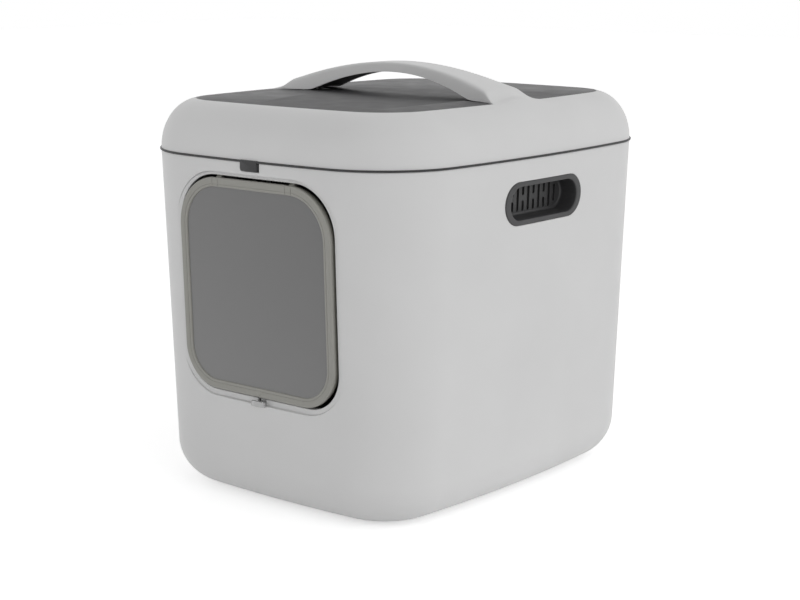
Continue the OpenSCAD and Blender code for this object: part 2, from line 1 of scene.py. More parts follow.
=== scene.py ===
import math
import bmesh
import bpy
import numpy as np
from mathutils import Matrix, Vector


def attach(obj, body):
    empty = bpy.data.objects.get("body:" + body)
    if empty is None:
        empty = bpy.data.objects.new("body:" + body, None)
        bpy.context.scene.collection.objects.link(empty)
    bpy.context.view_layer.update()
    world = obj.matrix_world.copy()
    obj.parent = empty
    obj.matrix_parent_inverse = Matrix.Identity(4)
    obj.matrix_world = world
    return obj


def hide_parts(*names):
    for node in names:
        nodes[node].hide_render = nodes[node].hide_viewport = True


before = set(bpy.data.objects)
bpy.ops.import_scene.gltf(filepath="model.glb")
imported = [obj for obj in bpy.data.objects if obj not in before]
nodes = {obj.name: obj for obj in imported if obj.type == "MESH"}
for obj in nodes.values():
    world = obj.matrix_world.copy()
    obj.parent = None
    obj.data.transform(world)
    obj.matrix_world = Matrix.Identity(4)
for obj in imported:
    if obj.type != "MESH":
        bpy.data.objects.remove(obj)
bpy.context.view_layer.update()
scene = bpy.context.scene

# Sizes in mm, as in the construction
HW, HD, CORNER_R = 201.0, 245.0, 98.0
FRONT_BOW, SIDE_BOW = 13.6, 18.0
PART_Z, WALL, DRAFT = 377.0, 2.8, math.radians(2)
BASE_R, BASE_Z = 49.0, 1.2
LID_H, SHOULDER_W, LIP_T, LID_WALL, LAP = 53.0, 43.0, 40.3, 2.6, 1.5
TUB_TOP, BASE_INSET, BASE_PANEL_H = 374.8, 90.0, 2.0
HANDLE_TOP, HANDLE_UNDER, HALF = 465.6, 454.7, 16.9
FOOT_HALF, FOOT_X, TIP_HALF, RISE = 24.8, 114.0, 42.0, 4.3
FLAP_W, FLAP_H, TOP_R, LOW_R, FRAME_W = 214.6, 230.2, 55.0, 45.0, 10.2
AXIS_H, AXIS_DROP, SINK, FRAME_T = 350.6, 4.8, 0.3, 4.0
GAP_FLAP, EASE, LAND_SIDE, LAND_OVER, LAND_UNDER, LAND_ROUND = 2.0, 2.6, 9.5, 6.0, 8.0, 7.3
LUG_X, KNUCKLE_HALF, KNUCKLE_R = 52.0, 4.3, 3.2
LATCH_H, NECK_W, SLIDE_GAP = 5.7, 12.0, 0.3
SCREW_X, BOSS_R, RAIL_Y, RAIL_Z, JAMB_RISE = 84.0, 3.5, 8.0, 10.17, 165.0
GRIP_L, GRIP_H, GRIP_Z = 138.0, 46.0, 328.3
CUP_INSET, CUP_L, CUP_H = 8.2, 124.6, 40.0
FLANGE_SEAT, CUP_FLOOR, CUP_END = 1.9, 22.0, 24.0
TAB_W, TAB_H, TAB_GAP = 24.0, 11.0, 0.7
SKIRT_H, INNER_WALL, INNER_GAP, PANEL_GAP = 9.5, 2.2, 0.8, 0.6

# Plan outline
FRONT_R = (HW * HW + FRONT_BOW ** 2) / (2 * FRONT_BOW)
SIDE_R = (HD * HD + SIDE_BOW ** 2) / (2 * SIDE_BOW)
FC = np.array([0, FRONT_R - HD])
SC = np.array([HW - SIDE_R, 0])


def corner_centre():
    link = SC - FC
    length = math.hypot(*link)
    u = link / length
    a = ((FRONT_R - CORNER_R) ** 2 - (SIDE_R - CORNER_R) ** 2 + length ** 2) / (2 * length)
    h = math.sqrt((FRONT_R - CORNER_R) ** 2 - a * a)
    return FC + a * u + h * np.array([-u[1], u[0]])


CC = corner_centre()
FRONT_A = math.atan2(CC[0], FC[1] - CC[1])
SIDE_A = math.atan2(-CC[1], CC[0] - SC[0])


FRONT_STEPS, CORNER_STEPS, SIDE_STEPS, ROWS = 16, 20, 8, 40


def directions():
    """Centre, outer radius and direction of each outline point, counter-clockwise from the front."""
    cx, cy, fy, sx = CC[0], CC[1], FC[1], SC[0]
    foot = math.asin(TIP_HALF / (SIDE_R - LIP_T))
    q = math.pi / 2
    out = []

    def arc(c, r, a0, a1, n):
        out.extend((c, r, a0 + (a1 - a0) * i / n) for i in range(n))

    def flank(sgn, mid):
        c = (sgn * sx, 0)
        arc(c, SIDE_R, mid - SIDE_A, mid - foot, SIDE_STEPS)
        out.extend((c, SIDE_R, mid - foot * math.cos(math.pi * j / ROWS)) for j in range(ROWS))
        arc(c, SIDE_R, mid + foot, mid + SIDE_A, SIDE_STEPS)

    arc((0, fy), FRONT_R, -q - FRONT_A, -q + FRONT_A, FRONT_STEPS)
    arc((cx, cy), CORNER_R, -q + FRONT_A, -SIDE_A, CORNER_STEPS)
    flank(1, 0)
    arc((cx, -cy), CORNER_R, SIDE_A, q - FRONT_A, CORNER_STEPS)
    arc((0, -fy), FRONT_R, q - FRONT_A, q + FRONT_A, FRONT_STEPS)
    arc((-cx, -cy), CORNER_R, q + FRONT_A, math.pi - SIDE_A, CORNER_STEPS)
    flank(-1, math.pi)
    arc((-cx, cy), CORNER_R, math.pi + SIDE_A, 3 * q - FRONT_A, CORNER_STEPS)
    c = np.array([o[0] for o in out])
    r = np.array([o[1] for o in out])
    a = np.array([o[2] for o in out])
    return c, r, np.stack([np.cos(a), np.sin(a)], 1)


DIR_C, DIR_R, DIR_U = directions()
N = len(DIR_R)
RIGHT0 = FRONT_STEPS + CORNER_STEPS + SIDE_STEPS
LEFT0 = RIGHT0 + ROWS + SIDE_STEPS + CORNER_STEPS + RIGHT0


def outline(t):
    return DIR_C + (DIR_R - t)[:, None] * DIR_U


def wall_t(z):
    return LAP + (PART_Z - z) * math.tan(DRAFT)


def plan_at(x, y):
    """Inward distance t from the flange edge, and outward plan direction, of a point."""
    ax, ay = abs(x), -abs(y)
    d = np.array([ax, ay]) - FC
    phi = math.atan2(d[0], -d[1])
    if phi <= FRONT_A:
        r = math.hypot(*d)
        t, n = FRONT_R - r, d / r
    else:
        s = np.array([ax, ay]) - SC
        psi = math.atan2(-s[1], s[0])
        if psi <= SIDE_A:
            r = math.hypot(*s)
            t, n = SIDE_R - r, s / r
        else:
            c = np.array([ax, ay]) - CC
            r = max(math.hypot(*c), 1e-9)
            t, n = CORNER_R - r, c / r
    return t, (math.copysign(n[0], x) if x else 0.0, -math.copysign(n[1], -y) if y else 0.0)


# Mesh helpers
def mesh_object(name, verts, faces, material, body=None, slot=None, replaces=(), angle=40):
    me = bpy.data.meshes.new(name)
    me.from_pydata([tuple(float(c) / 1000 for c in v) for v in verts], [], [tuple(f) for f in faces])
    me.validate()
    me.update()
    ob = bpy.data.objects.new(name, me)
    scene.collection.objects.link(ob)
    if material:
        me.materials.append(material)
    smooth(ob, angle)
    if body:
        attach(ob, body)
    if replaces:
        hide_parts(*replaces)
    return ob


def smooth(ob, angle=40):
    """Smooth shading, with hard edges where two faces meet at more than the angle."""
    me = ob.data
    me.polygons.foreach_set("use_smooth", [True] * len(me.polygons))
    bm = bmesh.new()
    bm.from_mesh(me)
    limit = math.radians(angle)
    for e in bm.edges:
        e.smooth = not (len(e.link_faces) == 2 and e.calc_face_angle(0) > limit)
    bm.to_mesh(me)
    bm.free()


def loft(rings, closed=False, cap0=True, cap1=True):
    """Vertices and faces of stacked rings, walking up the outside."""
    n, m = len(rings[0]), len(rings)
    verts = [p for r in rings for p in r]
    faces = []
    for i in range(m if closed else m - 1):
        a, b = i * n, ((i + 1) % m) * n
        faces += [(a + j, a + (j + 1) % n, b + (j + 1) % n, b + j) for j in range(n)]
    if not closed:
        if cap0:
            faces.append(tuple(range(n - 1, -1, -1)))
        if cap1:
            faces.append(tuple((m - 1) * n + j for j in range(n)))
    return verts, faces


def level(t, z):
    return [(p[0], p[1], z) for p in outline(t)]


def join(*parts):
    verts, faces = [], []
    for v, f in parts:
        k = len(verts)
        verts += list(v)
        faces += [tuple(i + k for i in face) for face in f]
    return verts, faces


def closed_up(ob):
    """Faces turned outwards."""
    bm = bmesh.new()
    bm.from_mesh(ob.data)
    bmesh.ops.recalc_face_normals(bm, faces=bm.faces)
    bm.to_mesh(ob.data)
    bm.free()
    return ob


def cutter(*parts):
    return closed_up(mesh_object("cutter", *join(*parts), None))


def cut(ob, *cutters):
    for c in cutters:
        mod = ob.modifiers.new("cut", "BOOLEAN")
        mod.operation, mod.solver, mod.object = "DIFFERENCE", "EXACT", c
        bpy.context.view_layer.objects.active = ob
        bpy.ops.object.modifier_apply(modifier=mod.name)
        bpy.data.objects.remove(c)


# Door frame of reference
AXIS_DEPTH = SINK + FRAME_T
AXIS_Y = -HD + wall_t(AXIS_H) + AXIS_DEPTH * math.cos(DRAFT)
AXIS_Z = AXIS_H + AXIS_DEPTH * math.sin(DRAFT)
FLAP_TOP, FLAP_LOW = AXIS_DROP, AXIS_DROP - FLAP_H
CD, SD = math.cos(DRAFT), math.sin(DRAFT)


def door(p):
    """Row point of a door point: x across, y into the box, z up the wall."""
    x, y, z = p
    return x, AXIS_Y + y * CD - z * SD, AXIS_Z + y * SD + z * CD


def rounded(w, z0, z1, r0, r1, n=20, flats=8):
    """Rounded rectangle, counter-clockwise from the front, with points along its straight sides too."""
    def arc(cx, cz, r, a0):
        turns = [math.radians(a0 + 90 * i / n) for i in range(n + 1)]
        return [(cx + r * math.cos(a), cz + r * math.sin(a)) for a in turns]

    corners = [arc(w / 2 - r0, z0 + r0, r0, -90), arc(w / 2 - r1, z1 - r1, r1, 0),
               arc(r1 - w / 2, z1 - r1, r1, 90), arc(r0 - w / 2, z0 + r0, r0, 180)]
    pts = []
    for i, c in enumerate(corners):
        nxt = corners[(i + 1) % 4][0]
        pts += c
        pts += [(c[-1][0] + (nxt[0] - c[-1][0]) * k / flats, c[-1][1] + (nxt[1] - c[-1][1]) * k / flats)
                for k in range(1, flats)]
    return pts


def flap_outline(g, n=20, flats=8):
    return rounded(FLAP_W + 2 * g, FLAP_LOW - g, FLAP_TOP + g, LOW_R + g, TOP_R + g, n, flats)


def door_ring(profile, n=20, place=door):
    """Closed ring swept round the flap outline; profile points are (inward distance, depth)."""
    return loft([[place((x, y, z)) for x, z in flap_outline(-g, n)] for g, y in profile], closed=True)


def slab(points, y0, y1, place):
    """Flat outline filled from depth y0 to depth y1."""
    return loft([[place((x, y1, z)) for x, z in points], [place((x, y0, z)) for x, z in points]])


# Materials
def srgb(v):
    v /= 255
    return v / 12.92 if v <= 0.04045 else ((v + 0.055) / 1.055) ** 2.4


def grey(v, tint=(0, 0, 0)):
    return tuple(srgb(v + d) for d in tint) + (1,)


class Nodes:
    def __init__(self, name):
        self.mat = bpy.data.materials.new(name)
        self.mat.use_nodes = True
        self.tree = self.mat.node_tree
        self.shader = self.tree.nodes["Principled BSDF"]
        self.coord = self.add("ShaderNodeTexCoord")

    def add(self, kind, **values):
        node = self.tree.nodes.new(kind)
        for k, v in values.items():
            setattr(node, k, v)
        return node

    def link(self, a, b):
        self.tree.links.new(a, b)

    def noise(self, scale, detail=3, rough=0.5):
        n = self.add("ShaderNodeTexNoise")
        n.inputs["Scale"].default_value = scale
        n.inputs["Detail"].default_value = detail
        n.inputs["Roughness"].default_value = rough
        self.link(self.coord.outputs["Object"], n.inputs["Vector"])
        return n.outputs["Fac"]

    def ramp(self, fac, stops):
        r = self.add("ShaderNodeValToRGB")
        r.color_ramp.elements[0].position, r.color_ramp.elements[0].color = stops[0]
        r.color_ramp.elements[1].position, r.color_ramp.elements[1].color = stops[-1]
        for p, c in stops[1:-1]:
            e = r.color_ramp.elements.new(p)
            e.color = c
        self.link(fac, r.inputs["Fac"])
        return r.outputs["Color"]

    def span(self, fac, low, high):
        m = self.add("ShaderNodeMapRange")
        m.inputs["From Min"].default_value, m.inputs["From Max"].default_value = 0.3, 0.7
        m.inputs["To Min"].default_value, m.inputs["To Max"].default_value = low, high
        self.link(fac, m.inputs["Value"])
        return m.outputs["Result"]

    def bump(self, heights):
        last = None
        for fac, strength, distance in heights:
            b = self.add("ShaderNodeBump")
            b.inputs["Strength"].default_value = strength
            b.inputs["Distance"].default_value = distance
            self.link(fac, b.inputs["Height"])
            if last:
                self.link(last, b.inputs["Normal"])
            last = b.outputs["Normal"]
        self.link(last, self.shader.inputs["Normal"])


def moulded(name, value, tint=(0, 0, 0), spread=2, rough=(0.42, 0.5), grain=0.02, pits=2600, spec=0.5):
    """Injection-moulded plastic: faint cloudy colour, fine spark-eroded grain, slightly uneven gloss."""
    m = Nodes(name)
    cloud = m.noise(9, 2)
    m.link(m.ramp(cloud, [(0.3, grey(value - spread, tint)), (0.7, grey(value + spread, tint))]),
           m.shader.inputs["Base Color"])
    m.link(m.span(m.noise(42, 4), *rough), m.shader.inputs["Roughness"])
    m.bump([(m.noise(pits, 2, 0.6), grain, 0.0004), (m.noise(16, 1), 0.03, 0.002)])
    m.shader.inputs["Specular IOR Level"].default_value = spec
    return m.mat


def brushed(name, value, rough=0.3):
    m = Nodes(name)
    m.shader.inputs["Metallic"].default_value = 1
    m.link(m.ramp(m.noise(60, 3), [(0.3, grey(value - 8)), (0.7, grey(value + 8))]),
           m.shader.inputs["Base Color"])
    m.link(m.span(m.noise(400, 2), rough - 0.06, rough + 0.06), m.shader.inputs["Roughness"])
    m.bump([(m.noise(3000, 2), 0.05, 0.0003)])
    return m.mat


def felt(name, value):
    m = Nodes(name)
    m.link(m.ramp(m.noise(900, 4, 0.7), [(0.3, grey(value - 14)), (0.7, grey(value + 12))]),
           m.shader.inputs["Base Color"])
    m.shader.inputs["Roughness"].default_value = 0.95
    m.shader.inputs["Sheen Weight"].default_value = 0.3
    m.bump([(m.noise(1400, 4, 0.8), 0.7, 0.0012)])
    return m.mat


MAT_TUB = moulded("tub_plastic", 216, spread=1.5)
MAT_LID = moulded("lid_plastic", 216, spread=1.5)
MAT_INNER = moulded("inner_lid_plastic", 60, (0, 0, 1), spread=3, grain=0.12, pits=1500, spec=0.25)
MAT_LINER = moulded("liner_plastic", 40, spread=2, rough=(0.5, 0.6), grain=0.06, pits=1500)
MAT_GRIP = moulded("grip_plastic", 58, (0, 0, 1), spread=3, rough=(0.42, 0.52), grain=0.06, pits=1800)
MAT_FRAME = moulded("frame_plastic", 148, (0, -1, -7), spread=2, rough=(0.3, 0.38), grain=0.01)
MAT_BACK = moulded("back_ring_plastic", 140, (0, -1, -9), spread=2, rough=(0.4, 0.5))
MAT_RAIL = moulded("rail_plastic", 146, (0, -1, -8), spread=2)
MAT_RUBBER = moulded("foot_rubber", 52, spread=4, rough=(0.75, 0.85), grain=0.2, pits=1200)
MAT_STEEL = brushed("screw_steel", 190)
MAT_MAGNET = brushed("magnet_metal", 150, 0.22)
MAT_FELT = felt("filter_felt", 34)


def pane_material():
    """Smoked clear plastic: dark and glossy, with painted shade that leaves it a little lighter towards its
    lower left and darker towards its upper right.
    """
    m = Nodes("pane_plastic")
    # Painted shade: the base colour darkens towards the upper right and lightens towards the lower left of
    # the pane
    grad = m.add("ShaderNodeVectorMath", operation="DOT_PRODUCT")
    grad.inputs[1].default_value = (-1.2, 0, -2.4)
    m.link(m.coord.outputs["Object"], grad.inputs[0])
    span = m.add("ShaderNodeMapRange")
    span.inputs["From Min"].default_value, span.inputs["From Max"].default_value = -0.95, -0.15
    m.link(grad.outputs["Value"], span.inputs["Value"])
    shade = m.ramp(span.outputs["Result"], [(0, grey(100)), (1, grey(122))])
    m.link(shade, m.shader.inputs["Base Color"])
    m.link(m.span(m.noise(30, 2), 0.16, 0.2), m.shader.inputs["Roughness"])
    m.shader.inputs["Coat Weight"].default_value = 0.3
    m.shader.inputs["Coat Roughness"].default_value = 0.05
    m.bump([(m.noise(20, 1), 0.02, 0.002)])
    return m.mat


def clear_material():
    m = Nodes("latch_plastic")
    m.link(m.ramp(m.noise(40, 2), [(0.3, grey(214)), (0.7, grey(224))]), m.shader.inputs["Base Color"])
    m.link(m.span(m.noise(50, 2), 0.12, 0.2), m.shader.inputs["Roughness"])
    m.shader.inputs["Transmission Weight"].default_value = 0.35
    m.shader.inputs["IOR"].default_value = 1.5
    m.bump([(m.noise(60, 2), 0.05, 0.001)])
    return m.mat


MAT_PANE = pane_material()
MAT_CLEAR = clear_material()

# Tub
BEND_Z = BASE_Z + BASE_R
BEND_T = wall_t(BEND_Z) + BASE_R / math.cos(DRAFT)
WALL_H = WALL / math.cos(DRAFT)


def bend(r, n=24):
    out = []
    for i in range(n + 1):
        a = math.radians(-90) + (math.pi / 2 - DRAFT) * i / n
        out.append((BEND_T - r * math.cos(a), BEND_Z + r * math.sin(a)))
    return out


def wall_rows(inner, n=16):
    """Points up the straight wall, so that the cuts in it stay tidy."""
    return [(wall_t(z) + inner, z) for z in np.linspace(BEND_Z + 6, TUB_TOP - 1.2, n)]


RIM_RISE, RIM_ROUND = 0.35, 1.1
top_round = [(wall_t(TUB_TOP) + WALL_H * u, TUB_TOP + RIM_RISE - RIM_ROUND * abs(2 * u - 1) ** 3)
             for u in np.linspace(0, 1, 9)]
tub_profile = ([(BASE_INSET + 3, BASE_Z + BASE_PANEL_H), (BASE_INSET + 0.8, BASE_Z + 1.6),
                (BASE_INSET, BASE_Z + 0.3), (BASE_INSET - 1.5, BASE_Z)]
               + bend(BASE_R) + wall_rows(0) + top_round
               + wall_rows(WALL_H)[::-1] + bend(BASE_R - WALL)[::-1]
               + [(BASE_INSET - 2, BASE_Z + WALL), (BASE_INSET + 1, BASE_Z + WALL + BASE_PANEL_H)])
tub = mesh_object("tub_wall", *loft([level(t, z) for t, z in tub_profile]), MAT_TUB)


def grip_place(side):
    gx = HW - wall_t(GRIP_Z)

    def place(p):
        x, y, z = p
        yy, zz = y * CD - z * SD, y * SD + z * CD
        return side * (gx - yy), x, GRIP_Z + zz
    return place


def stadium(l, h, n=24, flats=10):
    return rounded(l, -h / 2, h / 2, h / 2 - 0.01, h / 2 - 0.01, n, flats)


# Lid
def shoulder(g, s):
    a = math.pi / 2 * s
    return LAP + SHOULDER_W - (SHOULDER_W - g) * math.cos(a), PART_Z + (LID_H - g) * math.sin(a)


def lip_share(g):
    return math.acos((LAP + SHOULDER_W - LIP_T) / (SHOULDER_W - g)) / (math.pi / 2)


LIP_Z = shoulder(0, lip_share(0))[1]
LIP_LOW = shoulder(LID_WALL, lip_share(LID_WALL))[1]


RISE_START = 8


def rise(t, y):
    """Height that the lid's top gains towards the tips of the handle."""
    s = max(0, (t - RISE_START) / (LIP_T - RISE_START))
    half = TIP_HALF + (LIP_T - t) / 2
    return RISE * s * s * (1 + math.cos(math.pi * y / half)) / 2 if abs(y) < half else 0


HANDLE_X = HW - LIP_T
COLS = 96


def col_u(i):
    s = -1 + 2 * i / COLS
    return s * (1.35 - 0.35 * s * s)


def handle_half(u):
    x = abs(u) * HANDLE_X
    base = FOOT_HALF - HALF
    flare = max(0, (x - FOOT_X) / (HANDLE_X - FOOT_X))
    at_tip = HALF + base * (HANDLE_X / FOOT_X) ** 2
    return HALF + base * (x / FOOT_X) ** 2 + (TIP_HALF - at_tip) * flare ** 2.6


def crest(u):
    top = LIP_Z + RISE
    return HANDLE_TOP - (HANDLE_TOP - top) * abs(u) ** 1.95


def low_edge(u):
    d = (HANDLE_UNDER - LIP_Z) * (1 - (u * HANDLE_X / FOOT_X) ** 2)
    return LIP_Z + (d + math.sqrt(d * d + 4)) / 2


def blend_w(u):
    start = (FOOT_X + HANDLE_X) / 2
    s = max(0, (abs(u) * HANDLE_X - start) / (HANDLE_X - start))
    return s * s * (3 - 2 * s)


def handle_point(u, v, inner=0):
    """A point of the handle's top skin, or with inner=1 of its underside."""
    g = LID_WALL * inner
    w = blend_w(u)
    low = low_edge(u)
    p = 12 - 4 * abs(u)
    dome = max(0, 1 - abs(v) ** p) ** (1 / p)
    arch = low + (crest(u) - g - low) * dome
    flow = (LIP_LOW if inner else LIP_Z) + RISE * (1 + math.cos(math.pi * v)) / 2
    end_x = math.sqrt((SIDE_R - LIP_T) ** 2 - (v * TIP_HALF) ** 2) + SC[0]
    return u * end_x, v * (handle_half(u) - g * (1 - w)), arch + (flow - arch) * w


def lid_mesh():
    steps = 30
    outer = [shoulder(0, lip_share(0) * i / steps) for i in range(steps + 1)]
    inner = [shoulder(LID_WALL, lip_share(LID_WALL) * i / steps) for i in range(steps, -1, -1)]
    outer[0], inner[-1] = (outer[0][0], PART_Z - RIM_RISE), (inner[-1][0], PART_Z - RIM_RISE)
    rings = [[(p[0], p[1], z + rise(t, p[1])) for p in outline(t)] for t, z in outer + inner]
    m, mid = len(rings), steps
    right, left = RIGHT0, LEFT0
    verts = [p for r in rings for p in r]
    faces = []
    for i in range(m):
        b = (i + 1) % m
        for j in range(N):
            if i == mid and (right <= j < right + ROWS or left <= j < left + ROWS):
                continue
            k = (j + 1) % N
            faces.append((i * N + j, i * N + k, b * N + k, b * N + j))
    base = len(verts)

    def v_at(j):
        return -math.cos(math.pi * j / ROWS)

    for inner_side in (0, 1):
        for i in range(1, COLS):
            for j in range(ROWS + 1):
                verts.append(handle_point(col_u(i), v_at(j), inner_side))

    def at(k, i, j):
        if i == 0:
            return (mid + k) * N + (left + ROWS - j) % N
        if i == COLS:
            return (mid + k) * N + right + j
        return base + (k * (COLS - 1) + i - 1) * (ROWS + 1) + j

    for i in range(COLS):
        for j in range(ROWS):
            faces.append((at(0, i, j), at(0, i + 1, j), at(0, i + 1, j + 1), at(0, i, j + 1)))
            faces.append((at(1, i, j), at(1, i, j + 1), at(1, i + 1, j + 1), at(1, i + 1, j)))
        faces.append((at(0, i, 0), at(1, i, 0), at(1, i + 1, 0), at(0, i + 1, 0)))
        faces.append((at(0, i, ROWS), at(0, i + 1, ROWS), at(1, i + 1, ROWS), at(1, i, ROWS)))
    return verts, faces


lid = mesh_object("lid_skin", *lid_mesh(), MAT_LID, "lid", "lid_plastic", ["lid_shell"], angle=50)

# Doorway
LAND_DEPTH, PATCH = 5.0, 3.5
LAND_Y = LAND_DEPTH - AXIS_DEPTH
LAND_BACK = LAND_Y + WALL


def opening(g, n=40, flats=30):
    k = GAP_FLAP + g
    return rounded(FLAP_W + 2 * k, FLAP_LOW - k, FLAP_TOP + k,
                   LOW_R - EASE + g, TOP_R - EASE + g, n, flats)


def land(g, n=40, flats=30):
    return rounded(FLAP_W + 2 * (LAND_SIDE + g), FLAP_LOW - LAND_UNDER - g, FLAP_TOP + LAND_OVER + g,
                   LOW_R + LAND_ROUND + g, TOP_R + LAND_ROUND + g, n, flats)


def wall_y(x, z):
    """Depth of the tub's outer face in the door frame of reference."""
    y = -AXIS_DEPTH
    for _ in range(6):
        wx, wy, wz = door((x, y, z))
        t, n = plan_at(wx, wy)
        y -= (t - wall_t(wz)) / max(abs(n[1]), 0.2)
    return y


def soft_max(a, b, k=0.35):
    h = max(k - abs(a - b), 0) / k
    return max(a, b) + h * h * k / 4


def doorway_mesh():
    """Front wall round the flap: rounded pocket edge, flat land, rounded opening edge and plain back."""
    rim = land(0)
    columns = []
    for j in range(len(rim)):
        deep = max(0, LAND_Y - wall_y(*rim[j]))
        r1, r2 = min(1.1, deep * 0.42), min(1.3, deep * 0.4)
        col = []

        def put(p, y=None, drop=0.0, floor=None):
            if y is None:
                outer = wall_y(*p)
                y = outer if floor is None else soft_max(outer, floor)
            col.append(door((p[0], y + drop, p[1])))

        put(LAND_RINGS(PATCH)[j])
        put(LAND_RINGS(2.2)[j])
        for a in np.linspace(0, math.pi / 2, 7):
            put(LAND_RINGS(r1 * (1 - math.sin(a)))[j], drop=r1 * (1 - math.cos(a)))
        for b in np.linspace(0, math.pi / 2, 6):
            q = LAND_RINGS(-0.02 - r2 * (1 - math.cos(b)))[j]
            put(q, y=max(LAND_Y - r2 * (1 - math.sin(b)), wall_y(*q)) if deep else None)
        a, b = LAND_RINGS(-1.6)[j], OPEN_RINGS(0.9)[j]
        for k in (0, 0.3, 0.6, 0.85, 1):
            put((a[0] + (b[0] - a[0]) * k, a[1] + (b[1] - a[1]) * k), floor=LAND_Y)
        for c in np.linspace(0, math.pi / 2, 5):
            q = OPEN_RINGS(0.7 * (1 - math.sin(c)))[j]
            put(q, y=soft_max(wall_y(*q), LAND_Y) + 0.7 * (1 - math.cos(c)))
        put(OPEN_RINGS(0)[j], y=LAND_BACK - 0.3)
        put(OPEN_RINGS(0.3)[j], y=LAND_BACK)
        q = LAND_RINGS(PATCH)[j]
        put(q, y=max(LAND_BACK, wall_y(*q) + WALL))
        columns.append(col)
    rings = [[c[i] for c in columns] for i in range(len(columns[0]) - 1, -1, -1)]
    return loft(rings, closed=True)


def kept(make):
    """The same rings, made once for each distance."""
    made = {}

    def at(g):
        key = round(float(g), 4)
        if key not in made:
            made[key] = make(key)
        return made[key]
    return at


LAND_RINGS, OPEN_RINGS = kept(land), kept(opening)


def box_part(x0, x1, y0, y1, z0, z1, place=door):
    return slab([(x0, z0), (x1, z0), (x1, z1), (x0, z1)], y0, y1, place)


LATCH_LOW = FLAP_LOW - GAP_FLAP - LATCH_H - 1.6
NECK_LOW = LATCH_LOW + 0.5
front_wall = mesh_object("doorway", *doorway_mesh(), MAT_TUB, angle=35)
closed_up(front_wall)
NECK_HALF = NECK_W / 2 + SLIDE_GAP
cut(front_wall, cutter(box_part(-NECK_HALF, NECK_HALF, -14, 10, NECK_LOW - SLIDE_GAP, FLAP_LOW)))
smooth(front_wall, 35)
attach(front_wall, "tub")

NOTCH_HALF = TAB_W / 2 + TAB_GAP
NOTCH_DEEP = TUB_TOP - PART_Z + TAB_H + TAB_GAP
NOTCH_EASE = 1.2


def notch_place(p):
    return p[0], -HD + p[1], TUB_TOP + p[2]


def notch_chamfer():
    """Wedge round the tab's notch that eases its edges."""
    rings = []
    for g, y in ((-2.4, 3.9), (1, 0.5)):
        half, low = NOTCH_HALF + NOTCH_EASE + g, -NOTCH_DEEP - NOTCH_EASE - g
        corners = ((-half, low), (half, low), (half, 2), (-half, 2))
        rings.append([notch_place((x, y, z)) for x, z in corners])
    return loft(rings)


cut(tub,
    cutter(slab(land(PATCH), -20, 12, door)),
    cutter(box_part(-NOTCH_HALF, NOTCH_HALF, -1, 8, -NOTCH_DEEP, 2, notch_place)),
    cutter(notch_chamfer()),
    *[cutter(slab(stadium(GRIP_L + 0.6, GRIP_H + 0.6), -14, FLANGE_SEAT, grip_place(k))) for k in (1, -1)],
    *[cutter(slab(stadium(CUP_L, CUP_H), -14, CUP_FLOOR, grip_place(k))) for k in (1, -1)])


def tub_normals(ob):
    """True surface normals on the outer face, so that the wall shades evenly round the cuts."""
    me = ob.data
    smooth(ob, 30)
    normals = [Vector(n.vector) for n in me.corner_normals]
    for poly in me.polygons:
        for li in poly.loop_indices:
            co = me.vertices[me.loops[li].vertex_index].co * 1000
            t, n = plan_at(co.x, co.y)
            if co.z >= BEND_Z and co.z < TUB_TOP - 1.15 and abs(t - wall_t(co.z)) < 0.06:
                true = Vector((n[0] * CD, n[1] * CD, -SD))
            elif BASE_Z < co.z < BEND_Z and abs(math.hypot(t - BEND_T, co.z - BEND_Z) - BASE_R) < 0.06:
                b = math.atan2(co.z - BEND_Z, BEND_T - t)
                true = Vector((n[0] * math.cos(b), n[1] * math.cos(b), math.sin(b)))
            else:
                continue
            if true.dot(poly.normal) > 0.9:
                normals[li] = true
    me.normals_split_custom_set([tuple(n) for n in normals])


tub_normals(tub)
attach(tub, "tub")
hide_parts("body_tub")


JAMB_Y = LAND_BACK + 5.2


def jamb_mesh():
    """U-shaped sill and jambs behind the opening, with the two screw bosses above."""
    ring, wide = opening(0, 20, 30), opening(2.5, 20, 30)
    keep = [j for j in range(len(ring)) if ring[j][1] < FLAP_LOW + JAMB_RISE]
    left = [j for j in keep if ring[j][0] < -NECK_HALF]
    right = [j for j in keep if ring[j][0] > NECK_HALF]
    parts = []
    for run in (left, right):
        gaps = [i for i in range(1, len(run)) if run[i] != run[i - 1] + 1]
        if gaps:
            run = run[gaps[0]:] + run[:gaps[0]]
        rings = []
        for j in run:
            a, b = ring[j], wide[j]
            rings.append([door((a[0], LAND_BACK - 0.3, a[1])), door((b[0], LAND_BACK - 0.3, b[1])),
                          door((b[0], JAMB_Y, b[1])), door((a[0], JAMB_Y, a[1]))])
        parts.append(loft(rings))
    for s in (-1, 1):
        circle = [(s * SCREW_X + BOSS_R * math.cos(a), RAIL_Z + BOSS_R * math.sin(a))
                  for a in np.linspace(0, 2 * math.pi, 33)[:-1]]
        parts.append(slab(circle, wall_y(SCREW_X, RAIL_Z) + WALL / 2, RAIL_Y, door))
    return join(*parts)


closed_up(mesh_object("door_jamb", *jamb_mesh(), MAT_TUB, "tub", "tub_plastic"))

# Flap
def arc_profile(cx, cy, rx, ry, a0, a1, n):
    return [(cx + rx * math.cos(math.radians(a0 + (a1 - a0) * i / n)),
             cy + ry * math.sin(math.radians(a0 + (a1 - a0) * i / n))) for i in range(n + 1)]


frame_profile = ([(0.1, 0), (0, -0.2), (0, -2.6)] + arc_profile(1.4, -2.6, 1.4, 1.4, 180, 270, 8)
                 + [(6.6, -4), (6.75, -3.93), (6.85, -3.6), (7.15, -3.6), (7.25, -3.9)]
                 + arc_profile(8.7, -2.6, 1.4, 1.4, 265, 360, 9)
                 + [(10.15, -2.4), (10.2, -2.3), (6.2, -2.3), (6.2, 0)])
flap_ring = mesh_object("flap_ring", *door_ring(frame_profile, 40), MAT_FRAME)
closed_up(flap_ring)


LINE_OFF, LINE_HALF = 4.0, 0.2


